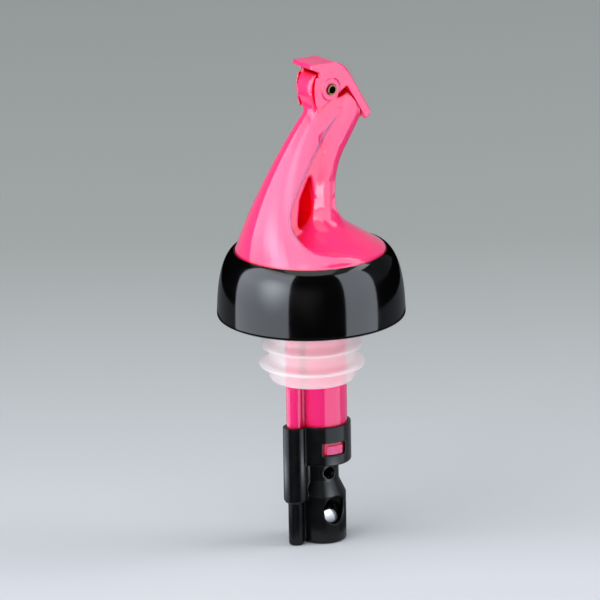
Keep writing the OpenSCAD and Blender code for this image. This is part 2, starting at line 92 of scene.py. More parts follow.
@dataclass
class Graph:
    """A material's node tree, with short ways to add and join nodes.

    Attributes:
        material: The material whose nodes are edited.
    """

    material: Material

    @classmethod
    def named(cls, name: str) -> "Graph":
        """Start a new material that holds one shader and its output.

        Args:
            name: Name of the material.

        Returns:
            Its node tree.
        """
        material = bpy.data.materials.new(name)
        material.use_nodes = True
        return cls(material)

    @property
    def shader(self) -> Node:
        """The main surface shader."""
        return self.material.node_tree.nodes["Principled BSDF"]

    def settle(self, **inputs: object) -> None:
        """Set values of the main shader, with spaces in the sockets' names written as underscores."""
        for key, value in inputs.items():
            self.shader.inputs[key.replace("_", " ")].default_value = value

    def add(self, kind: str, **inputs: object) -> Node:
        """Add one node.

        Args:
            kind: Blender's node type.
            inputs: Values for its sockets, with spaces written as underscores.

        Returns:
            The new node.
        """
        node = self.material.node_tree.nodes.new(kind)
        for key, value in inputs.items():
            node.inputs[key.replace("_", " ")].default_value = value
        return node

    def join(self, source: NodeSocket, target: NodeSocket) -> None:
        """Link one socket to another."""
        self.material.node_tree.links.new(source, target)

    def place(self) -> NodeSocket:
        """The point on the piece, in metres, in the part's own frame."""
        return self.add("ShaderNodeTexCoord").outputs["Object"]

    def noise(self, grain_mm: float, detail: float) -> NodeSocket:
        """Even noise with features of a real size.

        Args:
            grain_mm: Size of one feature.
            detail: How much finer detail rides on it.

        Returns:
            The noise value, from 0 to 1.
        """
        node = self.add("ShaderNodeTexNoise", Scale=1 / (grain_mm * MM), Detail=detail)
        self.join(self.place(), node.inputs["Vector"])
        return node.outputs["Fac"]

    def remap(self, value: NodeSocket, source: Pair, target: Pair = (0.0, 1.0),
              eased: bool = False) -> NodeSocket:
        """Map one range of numbers to another, and hold it at the ends.

        Args:
            value: The number.
            source: Range that it comes from.
            target: Range that it goes to.
            eased: Whether it leaves and reaches the ends softly.

        Returns:
            The mapped number.
        """
        node = self.add("ShaderNodeMapRange", From_Min=source[0], From_Max=source[1],
                        To_Min=target[0], To_Max=target[1])
        if eased:
            node.interpolation_type = "SMOOTHSTEP"
        self.join(value, node.inputs["Value"])
        return node.outputs["Result"]

    def blend(self, share: NodeSocket, first: object, second: object, kind: Mix = Mix.COLOUR) -> NodeSocket:
        """Blend two colours or numbers by a share.

        Args:
            share: 0 gives the first, 1 the second.
            first: A socket, a number, or linear red, green and blue.
            second: The same kind of thing.
            kind: Whether they are colours or numbers.

        Returns:
            The blended colour or number.
        """
        data_type, first_input, second_input, result = kind.value
        node = self.add("ShaderNodeMix")
        node.data_type = data_type
        self.join(share, node.inputs[0])
        for index, value in ((first_input, first), (second_input, second)):
            if isinstance(value, NodeSocket):
                self.join(value, node.inputs[index])
            else:
                node.inputs[index].default_value = (*value, 1) if kind is Mix.COLOUR else value
        return node.outputs[result]

    def calculate(self, operation: str, first: NodeSocket, second: NodeSocket) -> NodeSocket:
        """Reckon with two numbers.

        Args:
            operation: Blender's name of what is done with them.
            first: The first number.
            second: The second number.

        Returns:
            The result.
        """
        node = self.add("ShaderNodeMath")
        node.operation = operation
        self.join(first, node.inputs[0])
        self.join(second, node.inputs[1])
        return node.outputs["Value"]

    def along(self, vector: NodeSocket, axis: str) -> NodeSocket:
        """Take one part of a vector.

        Args:
            vector: The vector.
            axis: X, Y or Z.

        Returns:
            The part.
        """
        node = self.add("ShaderNodeSeparateXYZ")
        self.join(vector, node.inputs["Vector"])
        return node.outputs[axis]

    def relief(self, height: NodeSocket, depth_mm: float) -> None:
        """Give the surface a fine relief.

        Args:
            height: Height from 0 to 1.
            depth_mm: Depth of the relief.
        """
        bump = self.add("ShaderNodeBump", Strength=1.0, Distance=depth_mm * MM)
        self.join(height, bump.inputs["Height"])
        self.join(bump.outputs["Normal"], self.shader.inputs["Normal"])


@dataclass(frozen=True)
class MouldedPlastic:
    """Injection moulded plastic: even colour, a skin that is not quite even, and fine scuffs.

    Attributes:
        slot: Record slot that it stands for.
        colour: Main colour, linear.
        deep: Colour of the slightly thicker or darker patches, linear.
        gloss: Roughness of the clean skin.
        scuffed: Roughness of handled patches.
        coat: Strength of the clear skin.
        coat_gloss: Roughness of the clear skin.
        index: Refractive index.
        patch_mm: Size of the deeper patches.
        scuff_mm: Size of the handled patches.
        grain_mm: Size of the moulding's grain.
        grain_depth_mm: Depth of that grain.
        glow: Share of light that scatters under the skin.
        glow_mm: How far it scatters.
        glow_tint: Shares of that distance for red, green and blue.
        hollow: Painted shade: a deep colour laid into narrow corners and the pocket, in place of the light
            that bounces many times there, or None.
        corner_mm: Reach in which walls make a corner.
        corner_open: Openness of a corner that shows this colour fully, and of one that doesn't show it.
        pocket: Centre and half size, in millimetres, of the hollow that shows this painted shade fully.
        pocket_edge: Shares of the half size between which the pocket ends.
        pocket_rough: Roughness of the pocket's skin.
    """

    slot: Slot
    colour: Triple
    deep: Triple
    gloss: float
    scuffed: float
    coat: float = 0.0
    coat_gloss: float = 0.04
    index: float = 1.5
    patch_mm: float = 9.0
    scuff_mm: float = 4.0
    grain_mm: float = 0.35
    grain_depth_mm: float = 0.002
    glow: float = 0.0
    glow_mm: float = 4.0
    glow_tint: Triple = (1.0, 0.08, 0.16)
    hollow: Triple | None = None
    corner_mm: float = 4.5
    corner_open: Pair = (0.4, 0.9)
    pocket: tuple[Triple, Triple] = ((-3.0, 0.0, 81.4), (4.2, 2.95, 9.4))
    pocket_edge: Pair = (0.86, 1.0)
    pocket_rough: float = 0.8

    def material(self) -> Material:
        """Build the node material.

        Returns:
            The material.
        """
        graph = Graph.named(self.slot.value)
        graph.settle(IOR=self.index, Coat_Weight=self.coat, Coat_Roughness=self.coat_gloss,
                     Subsurface_Weight=self.glow, Subsurface_Radius=self.glow_tint,
                     Subsurface_Scale=self.glow_mm * MM)
        colour = graph.blend(graph.noise(self.patch_mm, 2.0), self.colour, self.deep)
        rough = graph.remap(graph.noise(self.scuff_mm, 6.0), NOISE_MIDDLE, (self.gloss, self.scuffed))
        # painted shade: a deep colour in corners and in the pocket
        if self.hollow:
            colour, rough = self.paint_hollow_shade(graph, colour, rough)
        graph.join(colour, graph.shader.inputs["Base Color"])
        graph.join(rough, graph.shader.inputs["Roughness"])
        graph.relief(graph.noise(self.grain_mm, 2.0), self.grain_depth_mm)
        return graph.material

    def paint_hollow_shade(self, graph: Graph, colour: NodeSocket, rough: NodeSocket) -> tuple[NodeSocket, NodeSocket]:
        """Paint shade into narrow corners and into the pocket, and take the pocket's reflections away so that
        it reads as deep shade.

        Args:
            graph: The material.
            colour: Colour of the open surface.
            rough: Roughness of the open surface.

        Returns:
            The two sockets to use instead.
        """
        corner = graph.add("ShaderNodeAmbientOcclusion", Distance=self.corner_mm * MM)
        openness = graph.remap(corner.outputs["AO"], self.corner_open)
        centre, half = self.pocket
        inside = graph.add("ShaderNodeMapping", Location=[-c / h for c, h in zip(centre, half)],
                           Scale=[1 / (h * MM) for h in half])
        graph.join(graph.place(), inside.inputs["Vector"])
        reach = graph.add("ShaderNodeVectorMath")
        reach.operation = "LENGTH"
        graph.join(inside.outputs["Vector"], reach.inputs[0])
        outside = graph.remap(reach.outputs["Value"], self.pocket_edge)
        # painted shade: the reflection and the clear skin fade out inside the pocket
        for socket, shine in (("Specular IOR Level", PLAIN_SPECULAR), ("Coat Weight", self.coat)):
            gloss = graph.remap(reach.outputs["Value"], self.pocket_edge, (0.0, shine))
            graph.join(gloss, graph.shader.inputs[socket])
        # painted shade: the deep colour takes over where a corner is closed or the point lies in the pocket
        shaded_colour = graph.blend(graph.calculate("MULTIPLY", openness, outside), self.hollow, colour)
        return shaded_colour, graph.blend(outside, self.pocket_rough, rough, Mix.NUMBER)


@dataclass(frozen=True)
class MilkyRubber:
    """Soft natural rubber that lets light through.

    Attributes:
        slot: Record slot that it stands for.
        colour: Main colour, linear.
        pale: Colour of its milkier clouds, linear.
        cover: Share of what lies behind it that its milky skin hides.
        index: Refractive index.
        cloud_mm: Size of the clouds.
        gloss: Roughness of the clean skin.
        dull: Roughness of dull patches.
        patch_mm: Size of those patches.
        grain_mm: Size of the skin's grain.
        grain_depth_mm: Depth of that grain.
        glow: Share of light that scatters under the skin.
        glow_mm: How far it scatters.
        glow_tint: Shares of that distance for red, green and blue.
    """

    slot: Slot
    colour: Triple
    pale: Triple
    cover: float
    index: float = 1.4
    cloud_mm: float = 3.0
    gloss: float = 0.34
    dull: float = 0.5
    patch_mm: float = 1.2
    grain_mm: float = 0.3
    grain_depth_mm: float = 0.004
    glow: float = 0.3
    glow_mm: float = 5.0
    glow_tint: Triple = (1.0, 0.85, 0.85)

    def material(self) -> Material:
        """Build the node material.

        Returns:
            The material.
        """
        graph = Graph.named(self.slot.value)
        graph.settle(IOR=self.index, Alpha=self.cover, Subsurface_Weight=self.glow,
                     Subsurface_Radius=self.glow_tint, Subsurface_Scale=self.glow_mm * MM)
        colour = graph.blend(graph.noise(self.cloud_mm, 4.0), self.colour, self.pale)
        rough = graph.remap(graph.noise(self.patch_mm, 5.0), NOISE_MIDDLE, (self.gloss, self.dull))
        graph.join(colour, graph.shader.inputs["Base Color"])
        graph.join(rough, graph.shader.inputs["Roughness"])
        graph.relief(graph.noise(self.grain_mm, 3.0), self.grain_depth_mm)
        return graph.material


@dataclass(frozen=True)
class BareSteel:
    """Bare steel, polished or rolled.

    Attributes:
        slot: Record slot that it stands for.
        colour: Reflected colour, linear.
        stain: Colour of dull patches, linear.
        gloss: Roughness of the clean metal.
        dull: Roughness of handled patches.
        grain_mm: Size of the surface marks.
        grain_depth_mm: Depth of those marks.
    """

    slot: Slot
    colour: Triple
    stain: Triple
    gloss: float
    dull: float
    grain_mm: float
    grain_depth_mm: float = 0.001

    def material(self) -> Material:
        """Build the node material.

        Returns:
            The material.
        """
        graph = Graph.named(self.slot.value)
        graph.settle(Metallic=1.0)
        marks = graph.noise(self.grain_mm, 5.0)
        rough = graph.remap(marks, NOISE_MIDDLE, (self.gloss, self.dull))
        graph.join(graph.blend(marks, self.colour, self.stain), graph.shader.inputs["Base Color"])
        graph.join(rough, graph.shader.inputs["Roughness"])
        graph.relief(marks, self.grain_depth_mm)
        return graph.material


@dataclass
class Finishes:
    """Every finish of the part, made once and shared."""

    pink: Material = field(init=False)
    black: Material = field(init=False)
    satin: Material = field(init=False)
    rubber: Material = field(init=False)
    ball: Material = field(init=False)
    pin: Material = field(init=False)

    def __post_init__(self) -> None:
        """Make the materials."""
        self.pink = MouldedPlastic(
            Slot.PINK_GLOSS, (0.96, 0.026, 0.19), (0.93, 0.022, 0.17), gloss=0.1, scuffed=0.16,
            # hollow: painted shade, a deep red for the corners and the spout's pocket
            coat=0.3, grain_depth_mm=0.0008, glow=0.7, hollow=(0.75, 0.0, 0.006),
        ).material()
        self.black = MouldedPlastic(
            Slot.BLACK_GLOSS, (0.001, 0.001, 0.0012), (0.0016, 0.0016, 0.0018), gloss=0.07, scuffed=0.11,
            grain_depth_mm=0.0004,
        ).material()
        self.satin = MouldedPlastic(
            Slot.BLACK_SATIN, (0.0012, 0.0017, 0.0021), (0.002, 0.0026, 0.003), gloss=0.2, scuffed=0.28,
            index=1.38, grain_depth_mm=0.0015,
        ).material()
        self.rubber = MilkyRubber(
            Slot.MILKY_RUBBER, (0.98, 0.91, 0.94), (1.0, 0.96, 0.98), cover=0.46,
        ).material()
        self.ball = BareSteel(
            Slot.BALL_STEEL, (0.82, 0.83, 0.85), (0.74, 0.75, 0.77), gloss=0.06, dull=0.12, grain_mm=0.8,
        ).material()
        self.pin = BareSteel(
            Slot.PIN_STEEL, (0.2, 0.13, 0.06), (0.11, 0.065, 0.03), gloss=0.22, dull=0.4, grain_mm=0.3,
        ).material()


def put_in_scene(name: str, data: ID) -> Object:
    """Put a mesh, a light or a camera in the scene at the origin.

    Args:
        name: Name of the object.
        data: What it shows. A mesh is already in its place.

    Returns:
        The new object.
    """
    thing = bpy.data.objects.new(name, data)
    bpy.context.scene.collection.objects.link(thing)
    return thing


def as_mesh(name: str, shape: BMesh) -> Mesh:
    """Turn a finished shape into a mesh and let the shape go.

    Args:
        name: Name of the mesh.
        shape: The shape.

    Returns:
        The mesh.
    """
    mesh = bpy.data.meshes.new(name)
    shape.to_mesh(mesh)
    shape.free()
    return mesh


def shade_smooth(mesh: Mesh, sharp: float | None = None) -> None:
    """Shade every face of a mesh smoothly.

    Args:
        mesh: The mesh.
        sharp: Angle in degrees past which an edge stays sharp, or None for no sharp edge.
    """
    mesh.polygons.foreach_set("use_smooth", [True] * len(mesh.polygons))
    if sharp is not None:
        mesh.set_sharp_from_angle(angle=math.radians(sharp))


def bake_modifiers(piece: Object) -> None:
    """Turn a piece's modifiers into its own mesh.

    Args:
        piece: The piece.
    """
    depsgraph = bpy.context.evaluated_depsgraph_get()
    baked = bpy.data.meshes.new_from_object(piece.evaluated_get(depsgraph))
    piece.modifiers.clear()
    piece.data = baked


def add_smoothing(piece: Object, name: str, passes: int, group: str = "") -> None:
    """Add a modifier that smooths a piece.

    Args:
        piece: The piece.
        name: Name of the modifier.
        passes: Number of smoothing passes.
        group: Vertex group that it is held to, or nothing for the whole piece.
    """
    smooth = piece.modifiers.new(name, "SMOOTH")
    smooth.factor = SMOOTH_FACTOR
    smooth.iterations = passes
    smooth.vertex_group = group


def merged_copy(node: str) -> Mesh:
    """Copy a node's mesh and join its loose triangles.

    Args:
        node: Name of the node.

    Returns:
        The joined copy.
    """
    shape = bmesh.new()
    shape.from_mesh(frame["nodes"][node].data)
    bmesh.ops.remove_doubles(shape, verts=shape.verts, dist=NODE_JOIN_MM * MM)
    return as_mesh(node, shape)


def steps_from(radius: float, height: float, steps: tuple[Pair, ...]) -> list[Pair]:
    """Points of an outline that are given as steps from one place, in millimetres."""
    return [(radius + out, height + up) for out, up in steps]


def lathe(name: str, outline: list[Pair], steps: int, closed: bool) -> Mesh:
    """Turn an outline round the bottle axis.

    Args:
        name: Name of the mesh.
        outline: Radius and height of each point, in millimetres.
        steps: Faces around.
        closed: Whether the last point joins the first.

    Returns:
        The turned mesh.
    """
    shape = bmesh.new()
    chain = [shape.verts.new((r * MM, 0.0, z * MM)) for r, z in outline]
    ring = [*chain, chain[0]] if closed else chain
    edges = [shape.edges.new(pair) for pair in zip(ring, ring[1:])]
    bmesh.ops.spin(shape, geom=[*chain, *edges], cent=(0, 0, 0), axis=(0, 0, 1),
                   angle=math.tau, steps=steps, use_merge=True)
    bmesh.ops.remove_doubles(shape, verts=shape.verts, dist=POLE_JOIN_MM * MM)
    bmesh.ops.recalc_face_normals(shape, faces=shape.faces)
    return as_mesh(name, shape)


def block(name: str, centre: Vector, size: Vector, turned: Matrix = Matrix()) -> Mesh:
    """Make a block with flat sides.

    Args:
        name: Name of the block.
        centre: Its middle, in millimetres.
        size: Its lengths along X, Y and Z.
        turned: Frame in metres that the middle and the lengths belong to.

    Returns:
        The block.
    """
    shape = bmesh.new()
    place = turned @ Matrix.Translation(centre * MM) @ Matrix.Diagonal((*(size * MM), 1))
    bmesh.ops.create_cube(shape, size=1.0, matrix=place)
    return as_mesh(name, shape)


def rod(name: str, x: float, radius: float, heights: Pair, steps: int = 96) -> Mesh:
    """Make an upright rod that serves as a cutter.

    Args:
        name: Name of the rod.
        x: Its place along X, in millimetres.
        radius: Its radius.
        heights: Lower and upper end.
        steps: Faces around.

    Returns:
        The rod.
    """
    low, high = heights
    shape = bmesh.new()
    place = Matrix.Translation(Vector((x, 0, (low + high) / 2)) * MM)
    bmesh.ops.create_cone(shape, cap_ends=True, segments=steps, radius1=radius * MM, radius2=radius * MM,
                          depth=(high - low) * MM, matrix=place)
    return as_mesh(name, shape)


def arc_block(name: str, x: float, radii: Pair, heights: Pair, middle: float, angle: float) -> Mesh:
    """Make a block that is curved round an upright axis.

    Args:
        name: Name of the block.
        x: Place of the axis along X, in millimetres.
        radii: Inner and outer radius.
        heights: Lower and upper end.
        middle: Direction of its middle, in degrees from X.
        angle: Angle that it spans.

    Returns:
        The block.
    """
    shape = bmesh.new()
    start = math.radians(middle - angle / 2)
    (inner, outer), (low, high) = radii, heights
    end = shape.faces.new([
        shape.verts.new(Vector((x + r * math.cos(start), r * math.sin(start), z)) * MM)
        for r, z in ((inner, low), (outer, low), (outer, high), (inner, high))
    ])
    bmesh.ops.spin(shape, geom=[end, *end.edges, *end.verts], cent=(x * MM, 0, 0), axis=(0, 0, 1),
                   angle=math.radians(angle), steps=ARC_STEPS)
    bmesh.ops.recalc_face_normals(shape, faces=shape.faces)
    return as_mesh(name, shape)


def cut(piece: Object, cutters: list[Mesh]) -> None:
    """Cut closed shapes out of a piece.

    Args:
        piece: The piece.
        cutters: The shapes, which are used up.
    """
    tools = [put_in_scene(cutter.name, cutter) for cutter in cutters]
    for tool in tools:
        step = piece.modifiers.new(tool.name, "BOOLEAN")
        step.operation = "DIFFERENCE"
        step.solver = "EXACT"
        step.object = tool
    bake_modifiers(piece)
    for tool in tools:
        bpy.data.objects.remove(tool)


def dress_node(node: str, finish: Material) -> None:
    """Give a node that keeps its own shape a better finish.

    Args:
        node: Name of the node.
        finish: The material.
    """
    mesh = frame["nodes"][node].data
    mesh.materials.clear()
    mesh.materials.append(finish)
    log.info("dressed %s", node)


@dataclass
class FittedPiece:
    """A piece that stands for one node of the part.

    Attributes:
        node: Node that it stands for.
        body: Body that it moves with.
        slot: Record slot of its finish; not used.
    """

    node: str
    body: Body
    slot: Slot

    def build(self) -> Object:
        """Make the piece, each kind in its own way."""
        raise NotImplementedError

    def dress(self, piece: Object, finish: Material) -> None:
        """Give the piece its finish and its place in the part.

        Args:
            piece: The finished piece.
            finish: Its material.
        """
        piece.data.materials.clear()
        piece.data.materials.append(finish)
        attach(piece, self.body.value)
        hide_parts(self.node)
        log.info("built %s with %d faces", piece.name, len(piece.data.polygons))


@dataclass
class SoftenedMoulding(FittedPiece):
    """A moulding whose edges are rounded over as a mould leaves them.

    Attributes:
        voxel_mm: Size of the faces that the shape is rebuilt from.
        passes: Number of smoothing passes.
    """

    voxel_mm: float
    passes: int

    def rough(self) -> Object:
        """Copy the node's shape, with its edges still sharp."""
        return put_in_scene(f"{self.node}_moulding", merged_copy(self.node))

    def build(self) -> Object:
        """Rebuild the shape from small even faces and round its edges.

        Returns:
            The finished piece.
        """
        piece = self.rough()
        remesh = piece.modifiers.new("even_faces", "REMESH")
        remesh.mode = "VOXEL"
        remesh.voxel_size = self.voxel_mm * MM
        add_smoothing(piece, "round_edges", self.passes)
        bake_modifiers(piece)
        shade_smooth(piece.data)
        return piece


@dataclass
class SpoutHead(SoftenedMoulding):
    """Head whose spine flows into the spout tube, with a bead round the scoop in each side.

    Attributes:
        scoop: Handles of the scoop's edge, seen from the side, in millimetres.
        scoop_steps: Points along that edge.
        corner: Centre and radius of the scoop's round lower corner.
        corner_turn: First angle, last angle and step along that corner, in degrees.
        bead: Radius of the bead along the edge.
        bead_sink: How deep the bead's middle lies under the spine's skin.
        bead_shift: Step along X from the edge, low down and high up.
        shift_heights: Heights between which that step changes.
        bead_sides: Faces round the bead.
        bead_taper: Points over which the bead thins out at each end.
        bead_rounds: Rounds of evening out the bead's path.
        clear: Distance from the middle plane that lies outside the head.
        flows: Place along X and Z, reach and extra smoothing passes of each stretch that runs on
            without an edge, in millimetres: spine into tube, and up the tube.
    """

    scoop: tuple[Pair, ...] = ((6.3, 104.2), (-2.0, 94.5), (-11.05, 86.2), (-11.35, 80.2))
    scoop_steps: int = 90
    corner: Triple = (-5.05, 80.2, 6.3)
    corner_turn: tuple[int, int, int] = (183, 243, 4)
    bead: float = 0.36
    bead_sink: float = 0.2
    bead_shift: Pair = (-0.2, 0.9)
    shift_heights: Pair = (98.0, 103.0)
    bead_sides: int = 12
    bead_taper: int = 12
    bead_rounds: int = 4
    clear: float = 30.0
    flows: tuple[tuple[float, float, float, int], ...] = (
        (2.9, 102.2, 4.2, 120), (3.4, 99.0, 3.6, 160), (2.9, 97.2, 2.6, 160),
        (6.2, 92.0, 4.0, 60), (5.6, 85.5, 4.2, 60), (6.4, 80.5, 4.2, 60),
    )

    def edge(self) -> list[Vector]:
        """Path of the bead, seen from the side.

        Returns:
            Points from its top to the scoop's floor, in millimetres.
        """
        curve = interpolate_bezier(*(Vector(h) for h in self.scoop), self.scoop_steps)
        x, z, radius = self.corner
        turns = [math.radians(a) for a in range(*self.corner_turn)]
        curve += [Vector((x + radius * math.cos(a), z + radius * math.sin(a))) for a in turns]
        low, high = self.bead_shift
        first, last = self.shift_heights
        for point in curve:
            share = min(1.0, max(0.0, (point.y - first) / (last - first)))
            point.x += low + (high - low) * share
        return curve

    def add_bead(self, shape: BMesh, skin: BVHTree, side: int) -> None:
        """Lay the bead along the scoop's edge on one side, as a closed shell sunk in the skin.

        Args:
            shape: Mesh that takes the bead.
            skin: Surface that it lies on.
            side: Side of the head, -1 or 1.
        """
        spots, normals = [], []
        for point in self.edge():
            start = Vector((point.x, side * self.clear, point.y)) * MM
            spot, normal = skin.ray_cast(start, Vector((0, -side, 0)))[:2]
            spots.append(spot - normal * self.bead_sink * MM)
            normals.append(normal)
        for _ in range(self.bead_rounds):
            spots[1:-1] = [(a + b * 2 + c) / 4 for a, b, c in zip(spots, spots[1:], spots[2:])]
        turns = [math.tau * k / self.bead_sides for k in range(self.bead_sides)]
        rings = []
        for i in range(1, len(spots) - 1):
            along = (spots[i + 1] - spots[i - 1]).normalized()
            across = along.cross(normals[i]).normalized()
            out = across.cross(along)
            to_end = min(i, len(spots) - 1 - i)
            radius = self.bead * MM * min(1.0, to_end / self.bead_taper)
            rim = [spots[i] + (out * math.cos(a) + across * math.sin(a)) * radius for a in turns]
            rings.append([shape.verts.new(spot) for spot in rim])
        faces = [shape.faces.new((one[k - 1], one[k], two[k], two[k - 1]))
                 for one, two in zip(rings, rings[1:]) for k in range(self.bead_sides)]
        faces += [shape.faces.new(rings[0]), shape.faces.new(rings[-1])]
        bmesh.ops.recalc_face_normals(shape, faces=faces)

    def build(self) -> Object:
        """Round the shape over, let the spine flow into the tube and lay the beads.

        Returns:
            The finished piece.
        """
        piece = super().build()
        for i, (x, z, reach, passes) in enumerate(self.flows):
            near = [v.index for v in piece.data.vertices
                    if math.hypot(v.co.x - x * MM, v.co.z - z * MM) < reach * MM]
            group = piece.vertex_groups.new(name=f"flow_{i}")
            group.add(near, 1.0, "REPLACE")
            add_smoothing(piece, group.name, passes, group.name)
        bake_modifiers(piece)
        piece.vertex_groups.clear()
        shape = bmesh.new()
        shape.from_mesh(piece.data)
        skin = BVHTree.FromBMesh(shape)
        for side in SIDES:
            self.add_bead(shape, skin, side)
        shape.to_mesh(piece.data)
        shape.free()
        shade_smooth(piece.data)
        return piece


@dataclass
class HoodedFlap(SoftenedMoulding):
    """Flap whose ears run back past the pin as thin cheeks with a straight lower edge.

    Attributes:
        tilt: Angle of the mouth's face from the vertical, in degrees.
        edge: Distance of the cheeks' lower edge below the pin, along the mouth's face, in millimetres.
        front: Place of the closing plate in front of the pin.
        lap: How far the lower edge runs on past that place.
        back: Handles of the curve of the cheeks' back edge, from the lower corner up to the hood.
        back_steps: Points along that curve.
        cheek: Distances of a cheek's inner and outer face from the middle plane.
        pin_r: Radius of the cheeks' hole, inside which the ears' own bore holds the pin.
        pin_steps: Points round that hole.
        trim: Height of the stretch under the lower edge in which the ears are cut away.
    """

    tilt: float = 30.0
    edge: float = -2.5
    front: float = 4.25
    lap: float = 0.5
    back: tuple[Pair, ...] = ((-5.7, -2.5), (-4.9, 0.4), (-4.0, 2.9), (-1.8, 4.9))
    back_steps: int = 16
    cheek: Pair = (3.25, 3.68)
    pin_r: float = 1.6
    pin_steps: int = 48
    trim: float = 2.0

    def at_pin(self) -> Matrix:
        """Frame of the pin, with X square to the mouth's face, in metres."""
        hinge = next(joint for joint in frame["joints"] if joint["child"] == self.body.value)
        return Matrix.Translation(hinge["pos_m"]) @ Matrix.Rotation(math.radians(-self.tilt), 4, "Y")

    def ear_trim(self) -> Mesh:
        """Block that takes away the ears below the cheeks' lower edge, twice as wide as the flap.

        Returns:
            The block.
        """
        corner, outer = self.back[0][0], self.cheek[1]
        centre = Vector(((self.front + corner) / 2, 0, self.edge - self.trim / 2))
        return block("ear_trim", centre, Vector((self.front - corner, 4 * outer, self.trim)), self.at_pin())

    def cheek_plate(self, side: int) -> Mesh:
        """Thin closed plate on one side, with a hole round the pin.

        Args:
            side: -1 or 1, the sign of its place along Y.

        Returns:
            The plate.
        """
        curve = interpolate_bezier(*(Vector(h) for h in self.back), self.back_steps)
        top = Vector((self.front, self.back[-1][1] / 2))
        outline = [*curve, top, Vector((self.front + self.lap, self.edge))]
        turns = [math.tau * k / self.pin_steps for k in range(self.pin_steps)]
        hole = [Vector((math.cos(a), math.sin(a))) * self.pin_r for a in turns]
        inner, outer = self.cheek
        shape = bmesh.new()
        edges = []
        for path in (outline, hole):
            ring = [shape.verts.new(Vector((p.x, side * inner, p.y)) * MM) for p in path]
            edges += [shape.edges.new((ring[k - 1], ring[k])) for k in range(len(ring))]
        bmesh.ops.triangle_fill(shape, edges=edges, use_beauty=True)
        grown = bmesh.ops.extrude_face_region(shape, geom=shape.faces[:])
        moved = [part for part in grown["geom"] if isinstance(part, BMVert)]
        bmesh.ops.translate(shape, verts=moved, vec=Vector((0, side * (outer - inner), 0)) * MM)
        bmesh.ops.recalc_face_normals(shape, faces=shape.faces)
        mesh = as_mesh("cheek", shape)
        mesh.transform(self.at_pin())
        return mesh

    def rough(self) -> Object:
        """Copy the node's shape, trim its ears and add the cheeks, which the rebuilding then fuses with it.

        Returns:
            The copy.
        """
        piece = super().rough()
        cut(piece, [self.ear_trim()])
        shape = bmesh.new()
        shape.from_mesh(piece.data)
        for side in SIDES:
            shape.from_mesh(self.cheek_plate(side))
        shape.to_mesh(piece.data)
        shape.free()
        return piece


@dataclass
class TwinStem(FittedPiece):
    """Wide measuring tube and narrow vent tube with a web between them, and a snap lug on each side.

    Attributes:
        tube_x: Place of the wide tube along X, in millimetres.
        tube: Inner and outer radius of the wide tube.
        vent_x: Place of the vent tube along X.
        vent: Inner and outer radius of the vent tube.
        ends: Lower and upper end of the tubes.
        web: Thickness of the web.
        web_short: How far the web ends short of the tubes' bores.
        lug: Lower and upper end of the lugs.
        lug_out: How far the lugs stand out of the tube.
        lug_root: How far they are let into its wall.
        turn: Direction of the lugs, in degrees from X.
        lug_angle: Angle that a lug spans.
        steps: Faces around a tube.
        sharp: Angle past which an edge stays sharp, in degrees.
    """

    tube_x: float = 2.4
    tube: Pair = (5.1, 6.1)
    vent_x: float = -5.4
    vent: Pair = (1.1, 1.9)
    ends: Pair = (20.55, 75.95)
    web: float = 3.2
    web_short: float = 0.05
    lug: Pair = (22.15, 24.15)
    lug_out: float = 0.42
    lug_root: float = 0.4
    turn: float = 98.0
    lug_angle: float = 36.0
    steps: int = 128
    sharp: float = 30.0

    def hollow(self, name: str, x: float, radii: Pair) -> Mesh:
        """Turn one tube.

        Args:
            name: Name of the mesh.
            x: Place of its axis along X.
            radii: Inner and outer radius.

        Returns:
            The tube.
        """
        (inner, outer), (low, high) = radii, self.ends
        outline = [(inner, low), (outer, low), (outer, high), (inner, high)]
        mesh = lathe(name, outline, self.steps, closed=True)
        mesh.transform(Matrix.Translation((x * MM, 0, 0)))
        return mesh

    def web_between(self) -> Mesh:
        """Strip that joins the two tubes, let into their walls.

        Returns:
            The strip.
        """
        first = self.vent_x + self.vent[0] + self.web_short
        last = self.tube_x - self.tube[0] - self.web_short
        low, high = self.ends
        centre = Vector(((first + last) / 2, 0, (low + high) / 2))
        return block("web", centre, Vector((last - first, self.web, high - low)))

    def build(self) -> Object:
        """Set the tubes, the web and the lugs together.

        Returns:
            The finished piece.
        """
        proud = (self.tube[1] - self.lug_root, self.tube[1] + self.lug_out)
        parts = [
            self.hollow("wide_tube", self.tube_x, self.tube),
            self.hollow("vent_tube", self.vent_x, self.vent),
            self.web_between(),
            *(arc_block("snap_lug", self.tube_x, proud, self.lug, side * self.turn, self.lug_angle)
              for side in SIDES),
        ]
        shape = bmesh.new()
        for part in parts:
            shape.from_mesh(part)
        mesh = as_mesh(self.node, shape)
        shade_smooth(mesh, self.sharp)
        return put_in_scene("twin_stem", mesh)


